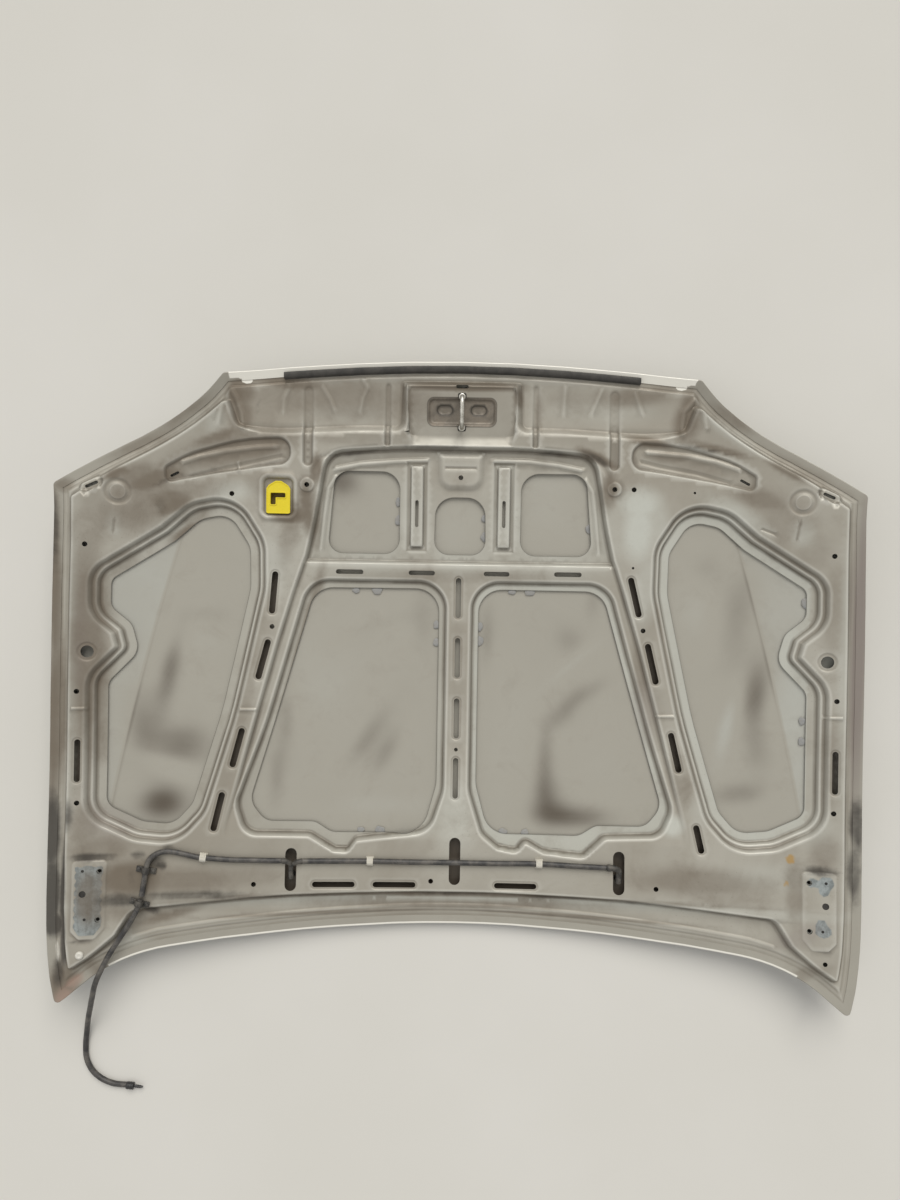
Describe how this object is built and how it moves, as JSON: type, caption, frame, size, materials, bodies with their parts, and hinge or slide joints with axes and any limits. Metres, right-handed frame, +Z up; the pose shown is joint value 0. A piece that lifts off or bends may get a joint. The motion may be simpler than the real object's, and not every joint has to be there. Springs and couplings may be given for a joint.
{
  "type": "car bonnet",
  "caption": "Stamped steel bonnet of a compact car lying skin down, inner side up: pressed inner panel with cut-outs, striker loop, prop socket, washer hose and front seal.",
  "frame": {"origin": "middle of the bonnet's width and length, on the floor under its outer skin", "axes": "+X across the car, +Y towards the front (latch) edge, +Z up out of the inner side"},
  "size_m": [1.412, 1.3144, 0.106],
  "materials": {
    "skin_paint": "silver paint, dusty on the folded hem",
    "panel_paint": "silver grey paint, brown dust and stains",
    "seal_rubber": "black sponge rubber, dusty",
    "latch_plate_steel": "dull primed steel in the window",
    "striker_steel": "bright bent rod",
    "hinge_plate_steel": "plain steel plate",
    "nut_steel": "plated steel",
    "socket_plastic": "yellow moulded plastic",
    "hose_rubber": "dark grey hose",
    "fitting_rubber": "black moulded rubber",
    "jet_plastic": "black moulded plastic",
    "clip_plastic": "off-white moulded plastic",
    "clamp_plastic": "black moulded plastic",
    "connector_plastic": "black moulded plastic",
    "plug_plastic": "off-white moulded plastic",
    "sealant": "grey mastic"
  },
  "bodies": {
    "root": {"outer_skin": "skin_paint", "inner_panel": "panel_paint", "front_seal": "seal_rubber", "latch_reinforcement": "latch_plate_steel", "striker": "striker_steel", "hinge_reinforcement_right": "hinge_plate_steel", "hinge_reinforcement_left": "hinge_plate_steel", "hinge_nut_right_1": "nut_steel", "hinge_nut_right_2": "nut_steel", "hinge_nut_left_1": "nut_steel", "hinge_nut_left_2": "nut_steel", "prop_socket": "socket_plastic", "washer_hose_supply": "hose_rubber", "washer_hose_cross": "hose_rubber", "hose_tee_left": "fitting_rubber", "hose_elbow_right": "fitting_rubber", "washer_jet_left": "jet_plastic", "washer_jet_right": "jet_plastic", "hose_clip_1": "clip_plastic", "hose_clip_2": "clip_plastic", "hose_clip_3": "clip_plastic", "hose_clamp_upper": "clamp_plastic", "hose_clamp_lower": "clamp_plastic", "washer_hose_free": "hose_rubber", "hose_connector": "connector_plastic", "blanking_plug": "plug_plastic", "sealant_blob_1": "sealant", "sealant_blob_2": "sealant", "sealant_blob_3": "sealant", "sealant_blob_4": "sealant", "sealant_blob_5": "sealant", "sealant_blob_6": "sealant", "sealant_blob_7": "sealant", "sealant_blob_8": "sealant", "sealant_blob_9": "sealant", "sealant_blob_10": "sealant", "sealant_blob_11": "sealant", "sealant_blob_12": "sealant", "sealant_blob_13": "sealant", "sealant_blob_14": "sealant", "sealant_blob_15": "sealant", "sealant_blob_16": "sealant", "sealant_blob_17": "sealant", "sealant_blob_18": "sealant", "sealant_blob_19": "sealant", "sealant_blob_20": "sealant"}
  },
  "joints": []
}
